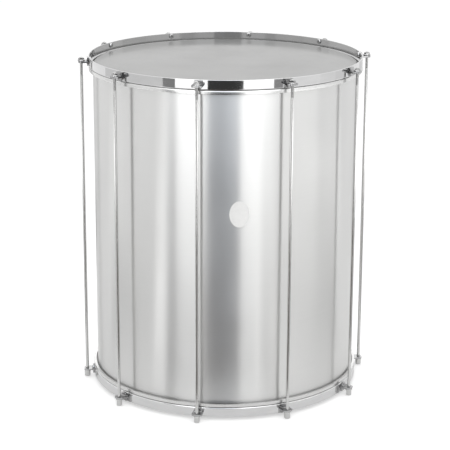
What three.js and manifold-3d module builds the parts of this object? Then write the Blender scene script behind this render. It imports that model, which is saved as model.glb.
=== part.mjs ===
// Surdo: a deep bass drum tensioned by through rods, standing upright on their heads.
// Millimetres, +Z up, drum axis on Z, floor at z = 0. Its own frame puts a lug on +X.

import * as THREE from "three";
import { mergeVertices } from "three/addons/utils/BufferGeometryUtils.js";
import Module from "manifold-3d";

// Shell: rolled sheet tube with inward bearing edges
const shellDiameter = 508;
const shellLength = 609.6;
const shellWall = 1.5;
const edgeRollRadius = 5;
const edgeLipWidth = 4;

// Head film: flat over the bearing edge, then a straight collar down to the flesh hoop
const filmThickness = 0.5;
const collarLength = 2.9;

// Flesh hoop: ring round the collar, with lips above and below the groove for the film
const fleshHoopGap = 3;
const fleshHoopWidth = 5;
const fleshHoopBack = 2;
const fleshLipAbove = 3.7;
const fleshLipBelow = 2.6;
const fleshChamferShare = 0.6;

// Counterhoop: upright band standing above the head, with an inward flange at its foot
const hoopStand = 14;
const hoopWall = 2.2;
const hoopFlange = 2.2;
const rimChamferShare = 0.27;

// Lug: plate against the band with an ear bored for the tension rod, and its socket screw
const lugCount = 10;
const lugPhaseDegrees = -10.57;
const plateThickness = 3;
const plateWidth = 15;
const plateTopInset = 1.2;
const plateFootInset = 0.4;
const earDepth = 7.6;
const earThickness = 3.2;
const earTipMargin = 2.7;
const earShoulder = 4;
const earFillet = 1.4;
const earRootShare = 0.9;
const earNutGap = 3.7;
const screwDiameter = 5;
const screwDepth = 5.8;
const screwHeadMargin = 2.5;
const screwHeadHeight = 2.8;
const socketShare = 0.42;
const socketDepthShare = 0.6;

// Tension rod with its collared hexagon head, and its flange nut
const rodDiameter = 6;
const rodHexMargin = 2;
const rodCollarMargin = 0.7;
const rodCollarHeight = 3;
const rodHeadDrop = 6.5;
const rodEndLength = 1.6;
const nutWall = 1.7;
const nutHeight = 5.4;
const nutFlangeMargin = 1.2;
const nutFlangeEdge = 1.5;
const nutConeHeight = 1.3;

// Badge: bare oval plate on the shell, its height set as a share of the shell's length
const badgeWidth = 37;
const badgeHeight = 49;
const badgeThickness = 1;
const badgeRiseShare = 0.618;
const badgeAngleDegrees = 16.5;

// Fit between pieces, and how far a cutter runs past what it cuts
const clearance = 0.3;
const overrun = 2;

// Facet counts
const ringFacets = 50;
const hexSides = 6;
const screwFacets = 6;
const screwHeadFacets = 8;
const rodFacets = 8;
const flangeFacets = 10;
const rollSteps = 2;
const plateFootSteps = 4;
const earCornerSteps = 2;
const badgeSteps = 16;

// Radii from the drum's axis, from the shell outwards
const shellRadius = shellDiameter / 2;
const rollCentreRadius = shellRadius - edgeRollRadius;
const filmInnerRadius = shellRadius + clearance;
const filmOuterRadius = filmInnerRadius + filmThickness;
const fleshInnerRadius = shellRadius + fleshHoopGap;
const hoopRadius = fleshInnerRadius + fleshHoopWidth;
const hoopInnerRadius = hoopRadius - hoopWall;
const grooveRadius = hoopRadius - fleshHoopBack;
const plateInnerRadius = hoopRadius + clearance;
const plateMiddleRadius = plateInnerRadius + plateThickness / 2;
const plateOuterRadius = plateInnerRadius + plateThickness;

// Hexagons across their flats, and the round parts that go with them
const rodHexFlats = rodDiameter + 2 * rodHexMargin;
const rodBore = rodDiameter + 2 * clearance;
const nutHexFlats = rodBore + 2 * nutWall;
const rodCollarRadius = rodHexFlats / 2 / Math.cos(Math.PI / hexSides) + rodCollarMargin;
const nutFlangeRadius = nutHexFlats / 2 / Math.cos(Math.PI / hexSides) + nutFlangeMargin;
const screwHeadDiameter = screwDiameter + 2 * screwHeadMargin;

// The rod circle lies where a nut's round flange stands clear of the plate
const rodCircleRadius = plateOuterRadius + earNutGap + nutFlangeRadius;
const earReach = rodBore / 2 + earTipMargin;
const earHalfWidth = earReach + earShoulder;

// Depths below a rim, the same at both ends of the drum
const shellEndDepth = hoopStand + filmThickness + clearance;
const rollCentreDepth = shellEndDepth + edgeRollRadius;
const hemDepth = rollCentreDepth + collarLength;
const grooveTopDepth = hemDepth - clearance;
const grooveFootDepth = hemDepth + filmThickness + clearance;
const fleshTopDepth = grooveTopDepth - fleshLipAbove;
const fleshFootDepth = grooveFootDepth + fleshLipBelow;
const hoopFootDepth = fleshTopDepth - clearance;
const flangeTopDepth = hoopFootDepth - hoopFlange;
const earFootDepth = earDepth + earThickness;
const plateFootDepth = hoopFootDepth - plateFootInset;

// Heights above the floor
const lowerRimHeight = rodHeadDrop;
const shellFootHeight = lowerRimHeight + shellEndDepth;
const upperRimHeight = shellFootHeight + shellLength + shellEndDepth;
const rodHeadTop = lowerRimHeight + earDepth - clearance;
const nutSeatHeight = upperRimHeight - earDepth + clearance;
const shellCentreHeight = shellFootHeight + shellLength / 2;
const badgeCentreHeight = shellFootHeight + badgeRiseShare * shellLength;

const wasm = await Module();
wasm.setup();

// A closed geometry as a solid that can be joined and cut
function toSolid(geometry) {
  const bare = geometry.clone();
  bare.deleteAttribute("normal");
  bare.deleteAttribute("uv");
  const welded = mergeVertices(bare);
  return new wasm.Manifold(new wasm.Mesh({
    numProp: 3,
    vertProperties: new Float32Array(welded.attributes.position.array),
    triVerts: new Uint32Array(welded.index.array),
  }));
}

// A solid back as a geometry
function toGeometry(solid) {
  const mesh = solid.getMesh();
  const geometry = new THREE.BufferGeometry();
  geometry.setAttribute("position", new THREE.BufferAttribute(mesh.vertProperties, 3));
  geometry.setIndex(new THREE.BufferAttribute(mesh.triVerts, 1));
  geometry.computeVertexNormals();
  return geometry;
}

// Points along an arc of a profile, the angles in degrees from the outward direction
function arc(centreR, centreZ, radius, from, to) {
  return Array.from({ length: rollSteps + 1 }, (_, i) => {
    const angle = THREE.MathUtils.degToRad(from + ((to - from) * i) / rollSteps);
    return [centreR + radius * Math.cos(angle), centreZ + radius * Math.sin(angle)];
  });
}

// A profile of [radius, height] points turned about Z. The middles of its flats lie at the
// given radii, and one of them is on +X, where the first lug is.
function turned(profile) {
  const halfFacet = Math.PI / ringFacets;
  const points = profile.map(([r, z]) => new THREE.Vector2(r / Math.cos(halfFacet), z));
  return new THREE.LatheGeometry(points, ringFacets, Math.PI / 2 - halfFacet, 2 * Math.PI)
    .rotateX(Math.PI / 2);
}

// A profile that closes on itself, turned about Z
function turnedRing(profile) {
  return turned([...profile, profile[0]]);
}

// A regular prism standing on Z between two heights, one of its flats facing +X
function prism(flats, sides, low, high) {
  const cornerRadius = flats / 2 / Math.cos(Math.PI / sides);
  return new THREE.CylinderGeometry(cornerRadius, cornerRadius, high - low, sides)
    .rotateX(Math.PI / 2)
    .rotateZ(Math.PI / sides)
    .translate(0, 0, (low + high) / 2);
}

// The same prism lying along X between two radii at a lug's screw, flats up and down
function screwPrism(flats, sides, inner, outer) {
  return prism(flats, sides, inner, outer).rotateY(Math.PI / 2).translate(0, 0, -screwDepth);
}

// The shell, centred on its own middle: a tube whose ends roll inward and end in a lip
function shellGeometry() {
  const half = shellLength / 2;
  const rollCentreHeight = half - edgeRollRadius;
  const lipRadius = rollCentreRadius - edgeLipWidth;
  const upper = [
    ...arc(rollCentreRadius, rollCentreHeight, edgeRollRadius, 0, 90),
    [lipRadius, half],
    [lipRadius, half - shellWall],
    ...arc(rollCentreRadius, rollCentreHeight, edgeRollRadius - shellWall, 90, 0),
  ];
  const lower = upper.map(([r, z]) => [r, -z]).reverse();
  return turnedRing([...upper, ...lower]);
}

// The badge: an oval punched radially out of a thin ring that wraps the shell
function badgeGeometry() {
  const inner = shellRadius + clearance;
  const outer = inner + badgeThickness;
  const reach = badgeHeight / 2 + overrun;
  const ring = turnedRing([[inner, -reach], [outer, -reach], [outer, reach], [inner, reach]]);
  const outline = new THREE.Shape();
  outline.absellipse(0, 0, badgeWidth / 2, badgeHeight / 2, 0, 2 * Math.PI, false, 0);
  const punch = new THREE.ExtrudeGeometry(new THREE.Shape(outline.getPoints(badgeSteps)), {
    depth: outer + overrun,
    bevelEnabled: false,
  });
  punch.rotateY(Math.PI / 2).rotateX(Math.PI / 2);
  punch.rotateZ(THREE.MathUtils.degToRad(badgeAngleDegrees));
  return toGeometry(toSolid(ring).intersect(toSolid(punch)));
}

// The head: film across the bearing edge, down the collar, hem turned out into the groove
function headGeometry() {
  const innerRoll = edgeRollRadius + clearance;
  const outerRoll = innerRoll + filmThickness;
  const hemRadius = grooveRadius - clearance;
  return turned([
    [0, -hoopStand - filmThickness],
    ...arc(rollCentreRadius, -rollCentreDepth, innerRoll, 90, 0),
    [filmInnerRadius, -hemDepth - filmThickness],
    [hemRadius, -hemDepth - filmThickness],
    [hemRadius, -hemDepth],
    [filmOuterRadius, -hemDepth],
    ...arc(rollCentreRadius, -rollCentreDepth, outerRoll, 0, 90),
    [0, -hoopStand],
  ]);
}

// The flesh hoop: a ring grooved on its inner face, its lower outer edge taken off
function fleshHoopGeometry() {
  const chamfer = fleshChamferShare * fleshHoopBack;
  return turnedRing([
    [fleshInnerRadius, -fleshFootDepth],
    [hoopRadius - chamfer, -fleshFootDepth],
    [hoopRadius, -fleshFootDepth + chamfer],
    [hoopRadius, -fleshTopDepth],
    [fleshInnerRadius, -fleshTopDepth],
    [fleshInnerRadius, -grooveTopDepth],
    [grooveRadius, -grooveTopDepth],
    [grooveRadius, -grooveFootDepth],
    [fleshInnerRadius, -grooveFootDepth],
  ]);
}

// The counterhoop: its flange presses on the flesh hoop, and each lug has a screw hole
function hoopGeometry() {
  const chamfer = rimChamferShare * hoopWall;
  const band = turnedRing([
    [fleshInnerRadius, -hoopFootDepth],
    [hoopRadius, -hoopFootDepth],
    [hoopRadius, -chamfer],
    [hoopRadius - chamfer, 0],
    [hoopInnerRadius + chamfer, 0],
    [hoopInnerRadius, -chamfer],
    [hoopInnerRadius, -flangeTopDepth],
    [fleshInnerRadius, -flangeTopDepth],
  ]);
  const holeFlats = screwDiameter + 2 * clearance;
  const holes = lugAngles.map((angle) => toSolid(
    screwPrism(holeFlats, screwFacets, hoopInnerRadius - overrun, hoopRadius + overrun)
      .rotateZ(angle)));
  return toGeometry(toSolid(band).subtract(wasm.Manifold.union(holes)));
}

// The lug: a plate with a rounded foot, the ear that stands out from it on a thicker root,
// bored for the rod, and the socket screw that holds it from inside the band
function lugGeometry() {
  const plateHalf = plateWidth / 2;
  const outline = new THREE.Shape();
  outline.moveTo(-plateHalf, -plateTopInset);
  outline.absarc(0, plateHalf - plateFootDepth, plateHalf, Math.PI, 2 * Math.PI, false);
  outline.lineTo(plateHalf, -plateTopInset);
  const plate = new THREE.ExtrudeGeometry(outline, {
    depth: plateThickness,
    bevelEnabled: false,
    curveSegments: plateFootSteps,
  }).rotateX(Math.PI / 2).rotateZ(Math.PI / 2).translate(plateInnerRadius, 0, 0);

  const plan = new THREE.Shape();
  plan.moveTo(plateMiddleRadius, -earHalfWidth);
  plan.absarc(rodCircleRadius, -earShoulder, earReach, -Math.PI / 2, 0, false);
  plan.absarc(rodCircleRadius, earShoulder, earReach, 0, Math.PI / 2, false);
  plan.lineTo(plateMiddleRadius, earHalfWidth);
  const ear = new THREE.ExtrudeGeometry(plan, {
    depth: earThickness,
    bevelEnabled: false,
    curveSegments: earCornerSteps,
  }).translate(0, 0, -earFootDepth);

  const rootHalf = earRootShare * plateHalf;
  const side = new THREE.Shape([
    [plateMiddleRadius, -earDepth + earFillet],
    [plateOuterRadius, -earDepth + earFillet],
    [plateOuterRadius + earFillet, -earDepth],
    [plateOuterRadius + earFillet, -earFootDepth],
    [plateOuterRadius, -earFootDepth - earFillet],
    [plateMiddleRadius, -earFootDepth - earFillet],
  ].map(([r, z]) => new THREE.Vector2(r, z)));
  const root = new THREE.ExtrudeGeometry(side, { depth: 2 * rootHalf, bevelEnabled: false })
    .rotateX(Math.PI / 2)
    .translate(0, rootHalf, 0);

  const headOuter = hoopInnerRadius - clearance;
  const headInner = headOuter - screwHeadHeight;
  const socketFloor = headInner + socketDepthShare * screwHeadHeight;
  const head = screwPrism(screwHeadDiameter, screwHeadFacets, headInner, headOuter);
  const socket = screwPrism(
    socketShare * screwHeadDiameter, hexSides, headInner - overrun, socketFloor);
  const shank = screwPrism(screwDiameter, screwFacets, socketFloor, plateMiddleRadius);
  const rodHole = prism(rodBore, rodFacets, -earFootDepth - overrun, -earDepth + overrun)
    .translate(rodCircleRadius, 0, 0);
  const added = [plate, ear, root, head].map(toSolid);
  const cut = [socket, rodHole].map(toSolid);
  return toGeometry(wasm.Manifold.union(added)
    .subtract(wasm.Manifold.union(cut))
    .add(toSolid(shank)));
}

// The tension rod: its head and collar under the lower ear, its shank up through both ears
// and the nut
function rodGeometry() {
  const collarFoot = rodHeadTop - rodCollarHeight;
  const collarMiddle = rodHeadTop - rodCollarHeight / 2;
  const rodTop = nutSeatHeight + nutHeight + rodEndLength;
  const collar = prism(2 * rodCollarRadius, flangeFacets, collarFoot, rodHeadTop);
  const head = prism(rodHexFlats, hexSides, 0, collarMiddle);
  const shank = prism(rodDiameter, rodFacets, collarFoot, rodTop);
  return toGeometry(wasm.Manifold.union([collar, head, shank].map(toSolid)));
}

// The tension nut: a hexagon on a coned round flange, its seat at z = 0
function nutGeometry() {
  const coneTop = nutFlangeEdge + nutConeHeight;
  const profile = [
    [0, 0],
    [nutFlangeRadius, 0],
    [nutFlangeRadius, nutFlangeEdge],
    [nutHexFlats / 2, coneTop],
    [0, coneTop],
  ];
  const points = profile.map(([r, z]) => new THREE.Vector2(r, z));
  const flange = new THREE.LatheGeometry(points, flangeFacets, 0, 2 * Math.PI).rotateX(Math.PI / 2);
  const hex = prism(nutHexFlats, hexSides, nutFlangeEdge, nutHeight);
  const bore = prism(rodBore, rodFacets, -overrun, nutHeight + overrun);
  return toGeometry(toSolid(flange).add(toSolid(hex)).subtract(toSolid(bore)));
}

const lugAngles = Array.from({ length: lugCount }, (_, i) => (2 * Math.PI * i) / lugCount);

const finishes = {
  satinAluminium: { color: 0xc9c9c7, roughness: 0.34, metalness: 1 },
  bareAluminium: { color: 0xcccccb, roughness: 0.28, metalness: 1 },
  chromedSteel: { color: 0xdadada, roughness: 0.07, metalness: 1 },
  platedSteel: { color: 0xc8c9c9, roughness: 0.2, metalness: 1 },
  greyFilm: { color: 0xc3c3c1, roughness: 0.16, metalness: 0 },
  whiteEnamel: { color: 0xf2f2ef, roughness: 0.2, metalness: 0 },
};

// A named mesh with a material of its own
function piece(name, geometry, finish) {
  const mesh = new THREE.Mesh(geometry, new THREE.MeshStandardMaterial(finishes[finish]));
  mesh.name = name;
  return mesh;
}

function numbered(stem, index) {
  return `${stem}_${String(index + 1).padStart(2, "0")}`;
}

// One end of the drum with its rim at z = 0 and the shell below it. The lower end is turned
// over about X, so its lugs run the other way round to keep the numbers of their rods.
function drumEnd(end, turn) {
  const group = new THREE.Group();
  group.add(piece(`${end}_head`, headGeometry(), "greyFilm"));
  group.add(piece(`${end}_flesh_hoop`, fleshHoopGeometry(), "bareAluminium"));
  group.add(piece(`${end}_hoop`, hoopGeometry(), "chromedSteel"));
  lugAngles.forEach((angle, i) => {
    const lug = piece(numbered(`${end}_lug`, i), lugGeometry(), "platedSteel");
    lug.rotation.z = turn * angle;
    group.add(lug);
  });
  return group;
}

const drum = new THREE.Group();
drum.name = "surdo";
drum.rotation.z = THREE.MathUtils.degToRad(lugPhaseDegrees - 90);

const shell = piece("shell", shellGeometry(), "satinAluminium");
shell.position.z = shellCentreHeight;
drum.add(shell);

const badge = piece("badge", badgeGeometry(), "whiteEnamel");
badge.position.z = badgeCentreHeight;
drum.add(badge);

const topEnd = drumEnd("top", 1);
topEnd.position.z = upperRimHeight;
drum.add(topEnd);

const bottomEnd = drumEnd("bottom", -1);
bottomEnd.rotation.x = Math.PI;
bottomEnd.position.z = lowerRimHeight;
drum.add(bottomEnd);

lugAngles.forEach((angle, i) => {
  const station = new THREE.Group();
  station.rotation.z = angle;
  const rod = piece(numbered("tension_rod", i), rodGeometry(), "platedSteel");
  rod.position.x = rodCircleRadius;
  const nut = piece(numbered("tension_nut", i), nutGeometry(), "platedSteel");
  nut.position.set(rodCircleRadius, 0, nutSeatHeight);
  station.add(rod, nut);
  drum.add(station);
});

export default drum;
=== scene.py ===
import math

import bmesh
import bpy
from mathutils import Matrix, Vector


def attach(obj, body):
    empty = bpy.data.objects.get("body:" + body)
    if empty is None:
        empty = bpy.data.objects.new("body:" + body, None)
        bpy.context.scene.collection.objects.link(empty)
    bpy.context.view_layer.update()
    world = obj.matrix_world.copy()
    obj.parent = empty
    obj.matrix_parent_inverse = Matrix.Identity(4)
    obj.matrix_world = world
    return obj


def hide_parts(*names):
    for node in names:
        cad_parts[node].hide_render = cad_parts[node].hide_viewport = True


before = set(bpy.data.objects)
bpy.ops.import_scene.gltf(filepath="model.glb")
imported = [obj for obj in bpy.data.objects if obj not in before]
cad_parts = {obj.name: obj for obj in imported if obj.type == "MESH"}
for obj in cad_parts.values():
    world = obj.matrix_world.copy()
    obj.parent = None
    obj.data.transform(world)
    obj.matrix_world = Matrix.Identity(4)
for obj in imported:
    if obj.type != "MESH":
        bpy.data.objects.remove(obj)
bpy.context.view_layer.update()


# The shell, the drum's body: one sheet of aluminium, 1.5 mm thick, rolled into a tube, with
# its two ends rolled inward to make the edges that the heads bear on. It is brushed all
# the way round, and the thin sheet is very slightly wavy.
mm = 0.001
hair = 0.001 * mm  # points closer than this count as one
shell_radius = 254 * mm
shell_foot, shell_top = 21.3 * mm, 630.9 * mm
shell_wall = 1.5 * mm
edge_roll = 5 * mm
edge_lip = 4 * mm
sharp_edge = math.radians(32)


def arc(centre, radius, start, end, steps=8):
    """Points of a profile along an arc, the angles in degrees from straight outwards."""
    points = []
    for i in range(steps + 1):
        angle = math.radians(start + (end - start) * i / steps)
        points.append((centre[0] + radius * math.cos(angle), centre[1] + radius * math.sin(angle)))
    return points


def turned(profile, closed=True, steps=240):
    """A profile of (radius, height) points spun all the way round the Z axis."""
    bm = bmesh.new()
    points = [bm.verts.new((r, 0, z)) for r, z in profile]
    followers = points[1:] + points[:1] if closed else points[1:]
    edges = [bm.edges.new(pair) for pair in zip(points, followers)]
    bmesh.ops.spin(bm, geom=points + edges, cent=(0, 0, 0), axis=(0, 0, 1),
                   angle=2 * math.pi, steps=steps, use_merge=True)
    bmesh.ops.remove_doubles(bm, verts=bm.verts, dist=hair)
    bmesh.ops.recalc_face_normals(bm, faces=bm.faces)
    return bm


def make_piece(name, bm, body, finish, nodes=()):
    """The mesh as a piece of the drum, in its finish, on its body, for its CAD nodes."""
    mesh = bpy.data.meshes.new(name)
    bm.to_mesh(mesh)
    bm.free()
    mesh.shade_smooth()
    mesh.set_sharp_from_angle(angle=sharp_edge)
    mesh.materials.append(finish)
    piece = bpy.data.objects.new(name, mesh)
    bpy.context.scene.collection.objects.link(piece)
    weighted = piece.modifiers.new("flat_faces_stay_flat", "WEIGHTED_NORMAL")
    weighted.keep_sharp = True
    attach(piece, body)
    if nodes:
        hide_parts(*nodes)


def new_finish(name, colour, roughness, metallic):
    """A material with its plain values on the shader's own sockets."""
    finish = bpy.data.materials.new(name)
    finish.use_nodes = True
    shader = finish.node_tree.nodes["Principled BSDF"]
    shader.inputs["Base Color"].default_value = (*colour, 1)
    shader.inputs["Roughness"].default_value = roughness
    shader.inputs["Metallic"].default_value = metallic
    return finish, finish.node_tree, shader


def noise(tree, stretch, detail=3.0, rough=0.5):
    """A noise over the piece's own coordinates, its grains so many to the metre each way."""
    place = tree.nodes.new("ShaderNodeTexCoord")
    mapping = tree.nodes.new("ShaderNodeMapping")
    mapping.inputs["Scale"].default_value = stretch
    texture = tree.nodes.new("ShaderNodeTexNoise")
    texture.inputs["Scale"].default_value = 1.0
    texture.inputs["Detail"].default_value = detail
    texture.inputs["Roughness"].default_value = rough
    tree.links.new(place.outputs["Object"], mapping.inputs["Vector"])
    tree.links.new(mapping.outputs["Vector"], texture.inputs["Vector"])
    return texture.outputs["Fac"]


def between(tree, factor, low, high, from_low=0.3, from_high=0.7):
    """Turns a factor into a value between two others."""
    spread = tree.nodes.new("ShaderNodeMapRange")
    spread.inputs["From Min"].default_value = from_low
    spread.inputs["From Max"].default_value = from_high
    spread.inputs["To Min"].default_value = low
    spread.inputs["To Max"].default_value = high
    tree.links.new(factor, spread.inputs["Value"])
    return spread.outputs["Result"]


def blend_colours(tree, factor, first, second):
    """A colour that goes from one to another by a factor."""
    mix = tree.nodes.new("ShaderNodeMix")
    mix.data_type = "RGBA"
    mix.inputs["A"].default_value = (*first, 1)
    mix.inputs["B"].default_value = (*second, 1)
    tree.links.new(factor, mix.inputs["Factor"])
    return mix.outputs["Result"]


def raise_surface(tree, height, depth, under=None):
    """A bump of that depth in metres, on top of another where one is given."""
    bump = tree.nodes.new("ShaderNodeBump")
    bump.inputs["Strength"].default_value = 1.0
    bump.inputs["Distance"].default_value = depth
    tree.links.new(height, bump.inputs["Height"])
    if under is not None:
        tree.links.new(under, bump.inputs["Normal"])
    return bump.outputs["Normal"]


# Handling marks, for the shell's finish and every later one: soft smudges that dull the
# polish a little and fine short scratches, given as a roughness and a height.
handling = bpy.data.node_groups.new("handling_marks", "ShaderNodeTree")
for label in ("Polish", "Smudge", "Grains"):
    handling.interface.new_socket(label, in_out="INPUT", socket_type="NodeSocketFloat")
handling.interface.new_socket("Roughness", in_out="OUTPUT", socket_type="NodeSocketFloat")
handling.interface.new_socket("Scratches", in_out="OUTPUT", socket_type="NodeSocketFloat")
handling_in = handling.nodes.new("NodeGroupInput")
handling_out = handling.nodes.new("NodeGroupOutput")
place = handling.nodes.new("ShaderNodeTexCoord")
smudges = handling.nodes.new("ShaderNodeTexNoise")
smudges.inputs["Detail"].default_value = 5.0
smudges.inputs["Roughness"].default_value = 0.6
handling.links.new(place.outputs["Object"], smudges.inputs["Vector"])
handling.links.new(handling_in.outputs["Grains"], smudges.inputs["Scale"])
dulled = handling.nodes.new("ShaderNodeMath")
dulled.operation = "MULTIPLY_ADD"
smudged = between(handling, smudges.outputs["Fac"], 0, 1, from_low=0.42, from_high=0.72)
handling.links.new(smudged, dulled.inputs[0])
handling.links.new(handling_in.outputs["Smudge"], dulled.inputs[1])
handling.links.new(handling_in.outputs["Polish"], dulled.inputs[2])
handling.links.new(dulled.outputs["Value"], handling_out.inputs["Roughness"])
scratch_map = handling.nodes.new("ShaderNodeMapping")
scratch_map.inputs["Scale"].default_value = (90, 90, 1400)
scratch_map.inputs["Rotation"].default_value = (0.35, 0.2, 0.5)
handling.links.new(place.outputs["Object"], scratch_map.inputs["Vector"])
scratches = handling.nodes.new("ShaderNodeTexNoise")
scratches.inputs["Scale"].default_value = 1.0
scratches.inputs["Detail"].default_value = 2.0
handling.links.new(scratch_map.outputs["Vector"], scratches.inputs["Vector"])
scratched = between(handling, scratches.outputs["Fac"], 0, 1, from_low=0.62, from_high=0.7)
handling.links.new(scratched, handling_out.inputs["Scratches"])


def handled(tree, shader, polish, smudge, grains, scratch_depth, under=None):
    """Puts the handling marks on a material, with its own polish and its own depth."""
    marks = tree.nodes.new("ShaderNodeGroup")
    marks.node_tree = handling
    marks.inputs["Polish"].default_value = polish
    marks.inputs["Smudge"].default_value = smudge
    marks.inputs["Grains"].default_value = grains
    tree.links.new(marks.outputs["Roughness"], shader.inputs["Roughness"])
    normal = raise_surface(tree, marks.outputs["Scratches"], -scratch_depth, under)
    tree.links.new(normal, shader.inputs["Normal"])


# The shell's own finish: level brush lines, faint patches and the waves of a thin sheet.
brushed, tree, shader = new_finish("shell_aluminium_brushed", (0.7, 0.7, 0.695), 0.34, 1)
shader.inputs["Anisotropic"].default_value = 0.97
shader.inputs["Anisotropic Rotation"].default_value = 0.25
around = tree.nodes.new("ShaderNodeTangent")
around.direction_type = "RADIAL"
around.axis = "Z"
tree.links.new(around.outputs["Tangent"], shader.inputs["Tangent"])
lines = noise(tree, (9, 9, 950), detail=4.0, rough=0.65)
patches = noise(tree, (5, 5, 2.2), detail=2.0)
waves = noise(tree, (7, 7, 2.6), detail=1.0, rough=0.3)
patched = blend_colours(tree, between(tree, patches, 0, 1), (0.685, 0.685, 0.68),
                        (0.73, 0.73, 0.72))
streaked = tree.nodes.new("ShaderNodeMix")
streaked.data_type = "RGBA"
streaked.blend_type = "MULTIPLY"
streaked.inputs["Factor"].default_value = 1.0
tree.links.new(patched, streaked.inputs["A"])
tree.links.new(blend_colours(tree, lines, (0.95, 0.95, 0.95), (1, 1, 1)), streaked.inputs["B"])
tree.links.new(streaked.outputs["Result"], shader.inputs["Base Color"])
sheet_waves = raise_surface(tree, waves, 0.7 * mm)
brush_lines = raise_surface(tree, lines, 0.004 * mm, sheet_waves)
handled(tree, shader, polish=0.31, smudge=0.05, grains=6.0, scratch_depth=0.01 * mm,
        under=brush_lines)

# The shell's section: the wall, and at each end the inward roll and its lip.
roll_radius = shell_radius - edge_roll
roll_height = shell_top - edge_roll
lip_radius = roll_radius - edge_lip
upper_edge = (arc((roll_radius, roll_height), edge_roll, 0, 90)
              + [(lip_radius, shell_top), (lip_radius, shell_top - shell_wall)]
              + arc((roll_radius, roll_height), edge_roll - shell_wall, 90, 0))
lower_edge = [(r, shell_foot + shell_top - z) for r, z in reversed(upper_edge)]
make_piece("shell_tube", turned(upper_edge + lower_edge, steps=288), "drum_shell",
           brushed, ["shell"])


# The badge: a bare oval plate, enamelled white on metal, bent to the shell's curve and
# stuck on it. Its rim is rolled over, so a fine bright line runs round the white face.
seat_gap = 0.3 * mm
lug_phase = math.radians(-90 - 10.57)
badge_width, badge_height, badge_thickness = 37 * mm, 49 * mm, 1 * mm
badge_centre_height = 398 * mm
badge_angle = lug_phase + math.radians(16.5)
badge_edge_round = 0.35 * mm
badge_rim_width = 1.1 * mm
badge_step_width, badge_step_depth = 0.4 * mm, 0.22 * mm
badge_strips = 12


def ease_edges(bm, width, sharper_than=40, segments=2):
    """Takes a small round off every edge that turns by more than so many degrees."""
    limit = math.radians(sharper_than)
    edges = [e for e in bm.edges if len(e.link_faces) == 2 and e.calc_face_angle() > limit]
    bmesh.ops.bevel(bm, geom=edges, offset=width, segments=segments, profile=0.5,
                    affect="EDGES", material=-1, clamp_overlap=True)


def tint(tree, shader, factor, first, second):
    """Lets a surface's colour wander from one to another by a factor."""
    tree.links.new(blend_colours(tree, factor, first, second), shader.inputs["Base Color"])


enamel, tree, shader = new_finish("badge_white_enamel", (0.9, 0.9, 0.89), 0.22, 0)
shader.inputs["Coat Weight"].default_value = 0.4
shader.inputs["Coat Roughness"].default_value = 0.08
mottle = noise(tree, (160, 160, 160), detail=3.0)
tint(tree, shader, between(tree, mottle, 0, 1), (0.88, 0.88, 0.87), (0.92, 0.92, 0.91))
dimples = noise(tree, (420, 420, 420), detail=1.0)
handled(tree, shader, polish=0.2, smudge=0.08, grains=60.0, scratch_depth=0.01 * mm,
        under=raise_surface(tree, dimples, 0.012 * mm))

bm = bmesh.new()
bmesh.ops.create_circle(bm, cap_ends=True, cap_tris=False, segments=96, radius=1.0)
bmesh.ops.scale(bm, vec=(badge_width / 2, badge_height / 2, 1), verts=bm.verts)
plate = bmesh.ops.extrude_face_region(bm, geom=bm.faces[:])
raised = [v for v in plate["geom"] if isinstance(v, bmesh.types.BMVert)]
bmesh.ops.translate(bm, vec=(0, 0, badge_thickness), verts=raised)
bmesh.ops.recalc_face_normals(bm, faces=bm.faces)
ease_edges(bm, badge_edge_round, segments=4)
face = max(bm.faces, key=lambda f: f.calc_area() * f.normal.z)
bmesh.ops.inset_region(bm, faces=[face], thickness=badge_rim_width, depth=0)
bmesh.ops.inset_region(bm, faces=[face], thickness=badge_step_width, depth=-badge_step_depth)
for line in range(1, badge_strips):
    bmesh.ops.bisect_plane(bm, geom=bm.verts[:] + bm.edges[:] + bm.faces[:],
                           plane_co=(badge_width * (line / badge_strips - 0.5), 0, 0),
                           plane_no=(1, 0, 0))
for vert in bm.verts:
    across, up, out = vert.co
    reach = shell_radius + seat_gap + out
    turn = badge_angle + across / shell_radius
    vert.co = (reach * math.cos(turn), reach * math.sin(turn), badge_centre_height + up)
make_piece("badge_plate", bm, "drum_shell", enamel, ["badge"])


# The heads: at each end a light grey plastic film, smooth with a soft gloss, drawn over
# the shell's edge, with its collar running down into the flesh hoop's groove. Both ends
# are made with the rim at Z = 0 and the shell below, and the lower one is then turned over.
upper_rim, lower_rim = 645.7 * mm, 6.5 * mm
ends = (("top", "upper_end", Matrix.Translation((0, 0, upper_rim)), Matrix.Identity(4)),
        ("bottom", "lower_end", Matrix.Translation((0, 0, lower_rim)),
         Matrix.Rotation(math.pi, 4, "X")))

head_depth = 14 * mm
film = 0.5 * mm
film_inside = edge_roll + seat_gap
film_outside = film_inside + film
crown_depth = head_depth + film_outside
middle_radius = 125 * mm
ring_clearance, groove_reach = 3 * mm, 3 * mm
ring_bore = shell_radius + ring_clearance
groove_radius = ring_bore + groove_reach
groove_depth = 22.4 * mm
hem_radius = groove_radius - seat_gap
hem_depth = groove_depth + seat_gap

grey_film, tree, shader = new_finish("head_grey_film", (0.355, 0.355, 0.35), 0.16, 0)
shader.inputs["Specular IOR Level"].default_value = 0.25
clouds = noise(tree, (14, 14, 14), detail=4.0)
tint(tree, shader, between(tree, clouds, 0, 1), (0.345, 0.345, 0.34), (0.37, 0.37, 0.365))
pull = noise(tree, (5, 5, 5), detail=1.0)
texture = noise(tree, (1100, 1100, 1100), detail=1.0)
pulled = raise_surface(tree, pull, 0.15 * mm)
handled(tree, shader, polish=0.14, smudge=0.1, grains=9.0, scratch_depth=0.004 * mm,
        under=raise_surface(tree, texture, 0.003 * mm, pulled))

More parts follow.
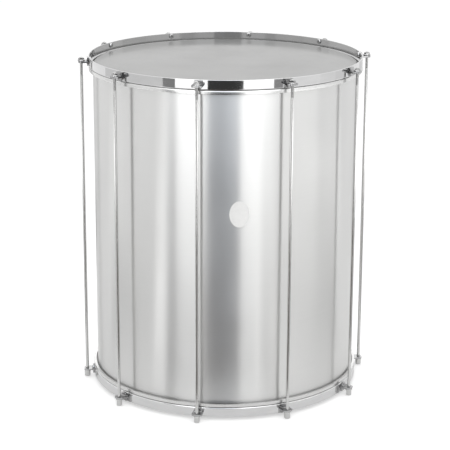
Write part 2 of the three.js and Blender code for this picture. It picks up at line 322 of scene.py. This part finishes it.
for end, body, lift, over in ends:
    bm = turned([(0, -head_depth - film), (middle_radius, -head_depth - film)]
                + arc((roll_radius, -crown_depth), film_inside, 90, 0, 10)
                + [(roll_radius + film_inside, -hem_depth - film), (hem_radius, -hem_depth - film),
                   (hem_radius, -hem_depth), (roll_radius + film_outside, -hem_depth)]
                + arc((roll_radius, -crown_depth), film_outside, 0, 90, 10)
                + [(middle_radius, -head_depth), (0, -head_depth)], closed=False)
    bmesh.ops.transform(bm, matrix=lift @ over, verts=bm.verts)
    make_piece(f"{end}_head_film", bm, body, grey_film, [f"{end}_head"])


# The flesh hoops: the aluminium ring that grips each head's hem in a groove. It shows as a
# bright strip between the counterhoop and the shell, rounded off where it meets the hoop.
ring_width = 5 * mm
hoop_radius = ring_bore + ring_width
hoop_foot = 18.4 * mm
ring_top = hoop_foot + seat_gap
ring_foot = 26.1 * mm
ring_round = 2.4 * mm
ring_edge_round = 0.3 * mm
groove_foot = 23.5 * mm

strip, tree, shader = new_finish("flesh_hoop_aluminium_strip", (0.7, 0.7, 0.69), 0.22, 1)
drawn = noise(tree, (30, 30, 1300), detail=3.0)
tint(tree, shader, drawn, (0.66, 0.66, 0.655), (0.74, 0.74, 0.735))
handled(tree, shader, polish=0.2, smudge=0.08, grains=25.0, scratch_depth=0.004 * mm,
        under=raise_surface(tree, drawn, 0.004 * mm))

for end, body, lift, over in ends:
    bm = turned([(ring_bore, -ring_foot), (hoop_radius, -ring_foot)]
                + arc((hoop_radius - ring_round, -ring_top - ring_round), ring_round, 0, 90, 6)
                + [(ring_bore, -ring_top), (ring_bore, -groove_depth),
                   (groove_radius, -groove_depth), (groove_radius, -groove_foot),
                   (ring_bore, -groove_foot)])
    ease_edges(bm, ring_edge_round)
    bmesh.ops.transform(bm, matrix=lift @ over, verts=bm.verts)
    make_piece(f"{end}_flesh_hoop_ring", bm, body, strip,
               [f"{end}_flesh_hoop"])


# The counterhoops: the upright chromed band round each end. Its foot is bent inward, with
# a round outer corner, as a flange that presses on the flesh hoop, and its rim is eased.
hoop_wall = 2.2 * mm
hoop_bend = 1.9 * mm
hoop_edge_round = 0.55 * mm
hoop_inside = hoop_radius - hoop_wall

chrome, tree, shader = new_finish("hoop_mirror_chrome", (0.68, 0.68, 0.68), 0.05, 1)
cloudy = noise(tree, (20, 20, 60), detail=4.0)
tint(tree, shader, between(tree, cloudy, 0, 1), (0.66, 0.66, 0.662), (0.71, 0.71, 0.712))
ripple = noise(tree, (26, 26, 12), detail=1.0, rough=0.3)
handled(tree, shader, polish=0.035, smudge=0.07, grains=22.0, scratch_depth=0.002 * mm,
        under=raise_surface(tree, ripple, 0.06 * mm))

for end, body, lift, over in ends:
    bm = turned([(ring_bore, -hoop_foot)]
                + arc((hoop_radius - hoop_bend, hoop_bend - hoop_foot), hoop_bend, -90, 0)
                + [(hoop_radius, 0), (hoop_inside, 0), (hoop_inside, -hoop_foot + hoop_wall),
                   (ring_bore, -hoop_foot + hoop_wall)])
    ease_edges(bm, hoop_edge_round, segments=3)
    bmesh.ops.transform(bm, matrix=lift @ over, verts=bm.verts)
    make_piece(f"{end}_hoop_band", bm, body, chrome, [f"{end}_hoop"])


# The lugs: ten small chromed brackets at each end, each a plate with a rounded foot against
# the band, and an ear, bored for the tension rod, that stands out on a thicker root.
lug_count = 10
rod_circle = 275.97 * mm
bore_radius = 3.3 * mm
plate_gap, plate_thickness = 0.1 * mm, 3.2 * mm
plate_inner = hoop_radius + plate_gap
plate_outer = plate_inner + plate_thickness
plate_top, plate_foot, plate_width = 1.2 * mm, 18 * mm, 15 * mm
plate_round = 7.3 * mm
root_half_width, root_sink = 6.7 * mm, 1 * mm
ear_top, ear_foot, ear_width, ear_reach = 7.6 * mm, 10.8 * mm, 20 * mm, 6 * mm
ear_fillet, ear_sink = 1.4 * mm, 1.5 * mm
ear_corner_share = 0.98
lug_edge_round = 0.4 * mm

plated, tree, shader = new_finish("lug_chrome_plated", (0.43, 0.43, 0.43), 0.1, 1)
cast = noise(tree, (260, 260, 260), detail=3.0)
tint(tree, shader, between(tree, cast, 0, 1), (0.38, 0.38, 0.385), (0.47, 0.47, 0.47))
handled(tree, shader, polish=0.1, smudge=0.12, grains=140.0, scratch_depth=0.005 * mm,
        under=raise_surface(tree, cast, 0.02 * mm))


def block(bm, low, high):
    """A box between two corners, added to the mesh. Returns its vertices."""
    size = Vector(high) - Vector(low)
    middle = (Vector(high) + Vector(low)) / 2
    return bmesh.ops.create_cube(
        bm, size=1.0, matrix=Matrix.Translation(middle) @ Matrix.Diagonal((*size, 1)))["verts"]


def round_corners(bm, corners, radius, segments):
    """Rounds the edges whose two ends are both among the corners."""
    edges = [e for e in bm.edges if all(v in corners for v in e.verts)]
    bmesh.ops.bevel(bm, geom=edges, offset=radius, segments=segments, profile=0.5,
                    affect="EDGES", material=-1, clamp_overlap=True)


def bore_through(bm, centre, radius):
    """Opens a round hole through the block's two level faces, with a wall of its own."""
    flats = [f for f in bm.faces if abs(f.normal.z) > 0.9]
    outlines = [(f.verts[0].co.z, list(f.edges)) for f in flats]
    bmesh.ops.delete(bm, geom=flats, context="FACES_ONLY")
    mouths = []
    for level, outline in outlines:
        made = bmesh.ops.create_circle(bm, cap_ends=False, segments=32, radius=radius,
                                       matrix=Matrix.Translation((*centre, level)))
        mouth = [e for e in bm.edges if all(v in made["verts"] for v in e.verts)]
        bmesh.ops.triangle_fill(bm, edges=mouth + outline, use_beauty=True, normal=(0, 0, 1))
        mouths += mouth
    bmesh.ops.bridge_loops(bm, edges=mouths)
    bmesh.ops.recalc_face_normals(bm, faces=bm.faces)


def join_in(whole, part):
    """Adds one mesh to another, and frees it."""
    mesh = bpy.data.meshes.new("joined_part")
    part.to_mesh(mesh)
    part.free()
    whole.from_mesh(mesh)
    bpy.data.meshes.remove(mesh)


def copied_round(shape, i, before, after=Matrix.Identity(4)):
    """A copy of a shape, moved by one matrix, turned to the place of lug i, and moved by
    the other."""
    bm = shape.copy()
    turn = Matrix.Rotation(lug_phase + 2 * math.pi * i / lug_count, 4, "Z")
    bmesh.ops.transform(bm, matrix=after @ turn @ before, verts=bm.verts)
    return bm


def lug_bracket():
    """One bracket at +X, its rim at Z = 0."""
    plate = bmesh.new()
    verts = block(plate, (plate_inner, -plate_width / 2, -plate_foot),
                  (plate_outer, plate_width / 2, -plate_top))
    for side in (-1, 1):
        round_corners(plate, [v for v in verts if v.is_valid and v.co.y * side > 0
                              and v.co.z < -plate_foot + hair], plate_round, 10)
    ease_edges(plate, lug_edge_round, segments=3)

    root = bmesh.new()
    root_levels = (-ear_foot - ear_fillet, -ear_top + ear_fillet)
    verts = block(root, (plate_inner + root_sink, -root_half_width, root_levels[0]),
                  (plate_outer + ear_fillet, root_half_width, root_levels[1]))
    for level in root_levels:
        round_corners(root, [v for v in verts if v.is_valid and v.co.x > plate_outer
                             and abs(v.co.z - level) < hair], ear_fillet, 4)

    ear = bmesh.new()
    tip = rod_circle + ear_reach
    verts = block(ear, (plate_inner + ear_sink, -ear_width / 2, -ear_foot),
                  (tip, ear_width / 2, -ear_top))
    for side in (-1, 1):
        round_corners(ear, [v for v in verts if v.is_valid and v.co.y * side > 0
                            and v.co.x > tip - hair], ear_reach * ear_corner_share, 8)
    bore_through(ear, (rod_circle, 0), bore_radius)
    ease_edges(ear, lug_edge_round, segments=3)

    whole = bmesh.new()
    for part in (plate, root, ear):
        join_in(whole, part)
    return whole


bracket = lug_bracket()
for end, body, lift, over in ends:
    for i in range(lug_count):
        number = f"{i + 1:02d}"
        make_piece(f"{end}_lug_{number}_bracket", copied_round(bracket, i, over, lift), body,
                   plated, [f"{end}_lug_{number}"])
bracket.free()


# The lug screws: a button head screw for each lug, driven from inside the band with a
# hexagon key. Its domed head and dark socket show inside the far half of the hoop.
screw_depth = 5.8 * mm
screw_head_radius, screw_head_height = 5 * mm, 2.8 * mm
dome_shares = ((0.62, 1), (0.8, 0.9464), (0.92, 0.75), (1, 0.3929), (1, 0), (0, 0))
socket_radius, socket_depth = 2.42 * mm, 1.7 * mm
screw_bed = 0.02 * mm

bright_steel, tree, shader = new_finish("screw_bright_steel", (0.55, 0.55, 0.55), 0.16, 1)
grime = noise(tree, (500, 500, 500), detail=3.0)
tint(tree, shader, between(tree, grime, 0, 1), (0.48, 0.48, 0.48), (0.6, 0.6, 0.6))
handled(tree, shader, polish=0.13, smudge=0.12, grains=200.0, scratch_depth=0.004 * mm)

screw = turned([(screw_head_radius * out, screw_head_height * up) for out, up in dome_shares],
               closed=False, steps=40)
rim = [e for e in screw.edges if e.is_boundary]
made = bmesh.ops.create_circle(screw, cap_ends=False, segments=6, radius=socket_radius,
                               matrix=Matrix.Translation((0, 0, screw_head_height)))
mouth = [e for e in screw.edges if all(v in made["verts"] for v in e.verts)]
bmesh.ops.bridge_loops(screw, edges=rim + mouth)
sunk = bmesh.ops.extrude_edge_only(screw, edges=mouth)
floor_verts = [v for v in sunk["geom"] if isinstance(v, bmesh.types.BMVert)]
bmesh.ops.translate(screw, vec=(0, 0, -socket_depth), verts=floor_verts)
bmesh.ops.holes_fill(screw, edges=[e for e in screw.edges if e.is_boundary], sides=6)
bmesh.ops.recalc_face_normals(screw, faces=screw.faces)
stand = Matrix.Translation((hoop_inside - screw_bed, 0, -screw_depth))
bmesh.ops.transform(screw, matrix=stand @ Matrix.Rotation(-math.pi / 2, 4, "Y"),
                    verts=screw.verts)
for end, body, lift, over in ends:
    for i in range(lug_count):
        make_piece(f"{end}_lug_{i + 1:02d}_screw", copied_round(screw, i, over, lift), body,
                   bright_steel)
screw.free()


# The tension rods: ten long plated rods that draw the two hoops together. Each has a
# collared hexagon head under the lower ear, which the drum stands on, and a rolled thread
# at its upper end.
rod_radius = 3 * mm
thread_pitch = 1 * mm
thread_root = 2.45 * mm
thread_foot = 612 * mm
thread_run_out = 1 * mm
ridge_sink = 0.1 * mm
rod_top = 645.4 * mm
thread_top = rod_top - 0.3 * mm
tip_bevel, tip_bevel_height = 0.4 * mm, 0.5 * mm
head_top = 13.8 * mm
collar_foot = 10.8 * mm
collar_radius, collar_bevel = 6.47 * mm, 0.27 * mm
collar_bevel_foot, collar_bevel_top = 0.4 * mm, 0.3 * mm
head_flats = 10 * mm
head_sink = 1 * mm
chamfer_cuts = 24
chamfer_start_share = 0.485
chamfer_slope = math.radians(30)

zinc, tree, shader = new_finish("rod_bright_plating", (0.64, 0.64, 0.635), 0.16, 1)
along = noise(tree, (700, 700, 14), detail=3.0)
tint(tree, shader, between(tree, along, 0, 1), (0.6, 0.6, 0.595), (0.68, 0.68, 0.675))
handled(tree, shader, polish=0.14, smudge=0.1, grains=60.0, scratch_depth=0.003 * mm,
        under=raise_surface(tree, along, 0.006 * mm))


def hexagon_bar(bm, flats, low, high, eased_top=True, eased_foot=False, bore=None):
    """A hexagon standing on Z, a flat towards +X, with turned chamfers at its ends, and
    with a hole through it where a bore is given."""
    bar = bmesh.new()
    corner = flats / 2 / math.cos(math.pi / 6)
    bmesh.ops.create_cone(
        bar, cap_ends=True, cap_tris=False, segments=6, radius1=corner, radius2=corner,
        depth=high - low, matrix=Matrix.Translation((0, 0, (low + high) / 2))
        @ Matrix.Rotation(math.pi / 6, 4, "Z"))
    for eased, level, way in ((eased_top, high, 1), (eased_foot, low, -1)):
        for step in range(chamfer_cuts if eased else 0):
            angle = 2 * math.pi * step / chamfer_cuts
            out = Vector((math.cos(angle), math.sin(angle), 0))
            lean = Vector((0, 0, way * math.cos(chamfer_slope)))
            bmesh.ops.bisect_plane(
                bar, geom=bar.verts[:] + bar.edges[:] + bar.faces[:],
                plane_co=out * flats * chamfer_start_share + Vector((0, 0, level)),
                plane_no=out * math.sin(chamfer_slope) + lean, clear_outer=True)
            bmesh.ops.holes_fill(bar, edges=[e for e in bar.edges if e.is_boundary], sides=0)
    if bore is not None:
        bmesh.ops.recalc_face_normals(bar, faces=bar.faces)
        bore_through(bar, (0, 0), bore)
    join_in(bm, bar)


def rolled_thread(bm, crest, root, pitch, low, high, steps=18):
    """A ridge that winds up round Z, closed at both ends."""
    turns = (high - low) / pitch - 1
    ridge = [bm.verts.new(p) for p in ((root - ridge_sink, 0, low), (crest, 0, low + pitch / 2),
                                       (root - ridge_sink, 0, low + pitch))]
    sides = [bm.edges.new(pair) for pair in zip(ridge, ridge[1:] + ridge[:1])]
    before = set(bm.faces)
    bmesh.ops.spin(bm, geom=ridge + sides, cent=(0, 0, 0), axis=(0, 0, 1),
                   dvec=(0, 0, pitch / steps), angle=2 * math.pi * turns,
                   steps=round(turns * steps))
    bmesh.ops.holes_fill(bm, edges=[e for e in bm.edges if e.is_boundary], sides=3)
    bmesh.ops.recalc_face_normals(bm, faces=[f for f in bm.faces if f not in before])


rod = turned([(0, collar_foot), (rod_radius, collar_foot),
              (rod_radius, thread_foot - thread_run_out), (thread_root, thread_foot),
              (thread_root, rod_top - tip_bevel_height), (thread_root - tip_bevel, rod_top),
              (0, rod_top)], closed=False, steps=32)
rolled_thread(rod, rod_radius, thread_root, thread_pitch, thread_foot, thread_top)
collar = turned([(0, collar_foot), (collar_radius - collar_bevel, collar_foot),
                 (collar_radius, collar_foot + collar_bevel_foot),
                 (collar_radius, head_top - collar_bevel_top),
                 (collar_radius - collar_bevel, head_top), (0, head_top)],
                closed=False, steps=40)
join_in(rod, collar)
hexagon_bar(rod, head_flats, 0, collar_foot + head_sink, eased_top=False, eased_foot=True)
to_rod = Matrix.Translation((rod_circle, 0, 0))
for i in range(lug_count):
    number = f"{i + 1:02d}"
    make_piece(f"tension_rod_{number}_steel", copied_round(rod, i, to_rod), "lower_end", zinc,
               [f"tension_rod_{number}"])
rod.free()


# The tension nuts: a hexagon nut on each upper ear, turned to tune the drum. A round
# flange is forged on its foot and its top corners are chamfered.
nut_seat = 638.1 * mm
nut_height = 5.4 * mm
nut_flats = 10 * mm
flange_radius, flange_crown_radius = 6.85 * mm, 5.2 * mm
flange_edge, flange_height = 1.5 * mm, 2.8 * mm
flange_edge_round = 0.3 * mm
hexagon_foot = 1.6 * mm

nut_plating, tree, shader = new_finish("nut_bright_plating", (0.44, 0.44, 0.44), 0.11, 1)
worn = noise(tree, (420, 420, 420), detail=4.0)
tint(tree, shader, between(tree, worn, 0, 1), (0.38, 0.38, 0.38), (0.49, 0.49, 0.49))
handled(tree, shader, polish=0.1, smudge=0.14, grains=180.0, scratch_depth=0.012 * mm,
        under=raise_surface(tree, worn, 0.015 * mm))

nut = turned([(bore_radius, 0), (flange_radius, 0), (flange_radius, flange_edge),
              (flange_crown_radius, flange_height), (bore_radius, flange_height)], steps=48)
ease_edges(nut, flange_edge_round)
hexagon_bar(nut, nut_flats, hexagon_foot, nut_height, bore=bore_radius)
to_ear = Matrix.Translation((rod_circle, 0, nut_seat))
for i in range(lug_count):
    number = f"{i + 1:02d}"
    make_piece(f"tension_nut_{number}_hexagon", copied_round(nut, i, to_ear),
               f"nut_{number}", nut_plating, [f"tension_nut_{number}"])
nut.free()


# The studio: a pale floor under a white surround, two tall soft lamps in front and one
# overhead. Cards that only reflections show stand round the drum and lie on the floor up
# to it, out of the camera's view, and give the metal its upright bands.
card_circle = 1.5
card_lift = 1 * mm
column_ratio = 1.83
plain_white = (1.0, 1.0, 1.0)
cool_white = (0.98, 0.99, 1.0)


def stage_piece(name, bm, material):
    """The mesh as a thing of the studio, which is no part of the drum."""
    mesh = bpy.data.meshes.new(name)
    bm.to_mesh(mesh)
    bm.free()
    mesh.materials.append(material)
    thing = bpy.data.objects.new(name, mesh)
    bpy.context.scene.collection.objects.link(thing)
    return thing


def reflected_cards(name, bm, colour, later=1.0):
    """Flat cards that only reflections show. Each is as bright as the level of its face,
    times the later share in a reflection of a reflection."""
    paint = bpy.data.materials.new(name)
    paint.use_nodes = True
    tree = paint.node_tree
    tree.nodes.clear()
    own_level = tree.nodes.new("ShaderNodeAttribute")
    own_level.attribute_name = "level"
    path = tree.nodes.new("ShaderNodeLightPath")
    later_share = between(tree, path.outputs["Ray Depth"], 1.0, later, from_low=1.4,
                          from_high=1.6)
    dimmed = tree.nodes.new("ShaderNodeMath")
    dimmed.operation = "MULTIPLY"
    tree.links.new(own_level.outputs["Fac"], dimmed.inputs[0])
    tree.links.new(later_share, dimmed.inputs[1])
    glow = tree.nodes.new("ShaderNodeEmission")
    glow.inputs["Color"].default_value = (*colour, 1)
    tree.links.new(dimmed.outputs["Value"], glow.inputs["Strength"])
    shown = tree.nodes.new("ShaderNodeOutputMaterial")
    tree.links.new(glow.outputs["Emission"], shown.inputs["Surface"])
    cards = stage_piece(name, bm, paint)
    cards.visible_camera = cards.visible_diffuse = cards.visible_shadow = False


def ahead(angle):
    """The level direction at an angle to the right of straight in front."""
    return Vector((math.sin(math.radians(angle)), -math.cos(math.radians(angle)), 0))


def card_row(name, heights, colour, columns, later=1.0, floor_share=0.28, facing=0):
    """Cards side by side on the circle, between two heights, or on the floor up to it where
    the heights are None. Each has its own level between two angles to the right of straight
    in front. Those on the floor run the way that one column of the shell reflects to an eye
    on the side that they face, so its bands stay upright."""
    bm = bmesh.new()
    levels = bm.faces.layers.float.new("level")
    for start, end, level in columns:
        far = [ahead(a) * card_circle for a in (start, end)]
        if heights is None:
            shell_columns = [facing + (a - facing) / column_ratio for a in (start, end)]
            near = [(ahead(a) * shell_radius).lerp(corner, floor_share)
                    for a, corner in zip(shell_columns, far)]
            corners = [*near, far[1], far[0]]
        else:
            low, high = (Vector((0, 0, height)) for height in heights)
            corners = [far[0] + low, far[1] + low, far[1] + high, far[0] + high]
        face = bm.faces.new([bm.verts.new(corner) for corner in corners])
        face[levels] = level
    if heights is None:
        bmesh.ops.translate(bm, vec=(0, 0, card_lift), verts=bm.verts)
    reflected_cards(name, bm, colour, later)


card_row("cards_floor", None, (1.0, 0.985, 0.975), (
    (-47, -38, 0.33), (-38, -20.5, 0.38), (13, 24.7, 0.34), (24.7, 29, 0.7), (29, 36.5, 0.4),
    (36.5, 44, 0.75)), later=2.2, floor_share=0.12)
card_row("cards_floor_dark", None, (1.3, 1.0, 0.8), ((-20.5, 13, 0.06),), later=2.2,
         floor_share=0.105)
card_row("cards_floor_sides", None, plain_white, (
    (-110, -58, 0.52), (-58, -47, 1.4), (44, 110, 0.5)), later=2.2)
card_row("cards_foot", (0, 0.1), plain_white, (
    (-110, -58, 0.6), (-58, -47, 1.5), (44, 110, 0.6)))
card_row("cards_low_sides", (0.1, 0.3), plain_white, (
    (-110, -58, 2.0), (-58, -47, 1.6), (44, 80, 2.5), (80, 110, 2.0)))
card_row("cards_low", (0, 0.3), plain_white, (
    (-47, -38, 0.3), (-38, -16, 1.5), (-16, 11, 0.04), (11, 29, 1.5), (29, 36.5, 1.0),
    (36.5, 44, 1.2)))
card_row("cards_middle", (0.3, 0.5), plain_white, (
    (-110, -48, 0.76), (-48, -38, 0.28), (-38, -13.2, 1.55), (-13.2, 13.2, 0.05),
    (13.2, 36.5, 1.55), (36.5, 44, 0.32), (44, 78, 0.93), (78, 95, 0.88), (95, 110, 0.82)))
card_row("cards_high_left", (0.5, 2.6), cool_white, (
    (-48, -38, 2.0), (-38, -15, 3.0)), later=0.24)
card_row("cards_high_centre", (0.5, 2.6), (0.93, 0.98, 1.05), (
    (-15, 1, 1.62), (1, 11, 2.1)), later=0.08)
card_row("cards_high_right", (0.5, 2.6), cool_white, (
    (11, 29, 3.0), (29, 36.5, 2.3), (36.5, 44, 2.4)), later=0.21)
card_row("cards_high_sides", (0.5, 2.6), plain_white, (
    (-78, -48, 1.1), (44, 78, 1.3)), later=0.62)
card_row("cards_high_ends", (0.5, 2.6), plain_white, (
    (-110, -78, 1.0), (78, 110, 1.0)), later=0.78)

back_bands = ((140, 156, 0.75), (156, 170, 1.45), (170, 188, 0.06), (188, 203, 1.45),
              (203, 216, 0.7))
back_floor_dimming = 0.5
card_row("cards_back_floor", None, (1.0, 0.99, 0.98), [
    (start, end, level * back_floor_dimming) for start, end, level in back_bands], facing=180)
card_row("cards_back", (0, 0.75), plain_white, (
    (110, 140, 1.0), *back_bands, (216, 250, 1.0)))

panel_half_width, panel_distance = 3.5, 3.6
panel_low, panel_high = 0.95, 4.2
panel_level = 0.05
panel = bmesh.new()
dark = panel.faces.layers.float.new("level")
face = panel.faces.new([
    panel.verts.new((across * panel_half_width, -panel_distance, height))
    for across, height in ((-1, panel_low), (1, panel_low), (1, panel_high), (-1, panel_high))])
face[dark] = panel_level
reflected_cards("card_behind_camera", panel, plain_white)


def seen_or_mirrored(tree, path):
    """One for the camera's own rays and for reflections, and nothing for other light."""
    seen = tree.nodes.new("ShaderNodeMath")
    seen.operation = "ADD"
    seen.use_clamp = True
    tree.links.new(path.outputs["Is Camera Ray"], seen.inputs[0])
    tree.links.new(path.outputs["Is Glossy Ray"], seen.inputs[1])
    return seen.outputs["Value"]


floor_size = 12
floor_drop = 0.3 * mm
seen_glow, camera_glow = 0.26, 0.26
bm = bmesh.new()
bmesh.ops.create_grid(bm, x_segments=1, y_segments=1, size=floor_size)
bmesh.ops.translate(bm, vec=(0, 0, -floor_drop), verts=bm.verts)
pale, tree, shader = new_finish("floor_pale", (0.8, 0.8, 0.8), 0.9, 0)
shader.inputs["Specular IOR Level"].default_value = 0.0
shader.inputs["Emission Color"].default_value = (1, 1, 1, 1)
path = tree.nodes.new("ShaderNodeLightPath")
glowing = tree.nodes.new("ShaderNodeMath")
glowing.operation = "MULTIPLY_ADD"
glowing.inputs[1].default_value = camera_glow
tree.links.new(path.outputs["Is Camera Ray"], glowing.inputs[0])
own_glow = between(tree, seen_or_mirrored(tree, path), 0, seen_glow, from_low=0, from_high=1)
tree.links.new(own_glow, glowing.inputs[2])
tree.links.new(glowing.outputs["Value"], shader.inputs["Emission Strength"])
stage_piece("floor", bm, pale)

world_light = 0.62
world = bpy.data.worlds.new("studio")
bpy.context.scene.world = world
world.use_nodes = True
tree = world.node_tree
backdrop = tree.nodes["Background"]
backdrop.inputs["Color"].default_value = (1, 1, 1, 1)
path = tree.nodes.new("ShaderNodeLightPath")
brightness = between(tree, seen_or_mirrored(tree, path), world_light, 1, from_low=0,
                     from_high=1)
tree.links.new(brightness, backdrop.inputs["Strength"])


def soft_lamp(name, place, aim, width, height, watts):
    """A soft box lamp that looks at a point."""
    lamp = bpy.data.lights.new(name, "AREA")
    lamp.shape = "RECTANGLE"
    lamp.size, lamp.size_y = width, height
    lamp.energy = watts
    holder = bpy.data.objects.new(name, lamp)
    bpy.context.scene.collection.objects.link(holder)
    aim_way = Vector(aim) - Vector(place)
    holder.matrix_world = (Matrix.Translation(place)
                           @ aim_way.to_track_quat("-Z", "Y").to_matrix().to_4x4())
    holder.visible_camera = False
    return holder


for name, side, watts in (("lamp_right", 1, 13), ("lamp_left", -1, 11)):
    tall = soft_lamp(name, place=(1.3 * side, -2.25, 1.45), aim=(0, 0, 0.5), width=1.1,
                     height=1.9, watts=watts)
    tall.visible_glossy = False
soft_lamp("lamp_overhead", place=(0, 0.3, 2.9), aim=(0, 0, 0.6), width=2.2, height=2.2, watts=14)


# The camera: about 3 m in front of the drum, looking a little down on it through a long
# lens, so that the drum fills the frame as it does in the photograph.
camera_place = (0.0002, -3.0663, 1.1958)
camera_tilt = math.radians(90 - 16.206)
camera_roll = math.radians(0.2542)
camera_data = bpy.data.cameras.new("camera")
camera_data.sensor_width = 36
camera_data.lens = 129.47
camera_data.clip_end = 60
camera = bpy.data.objects.new("camera", camera_data)
bpy.context.scene.collection.objects.link(camera)
camera.matrix_world = (Matrix.Translation(camera_place) @ Matrix.Rotation(camera_tilt, 4, "X")
                       @ Matrix.Rotation(camera_roll, 4, "Z"))
bpy.context.scene.camera = camera
bpy.context.scene.view_settings.view_transform = "Standard"
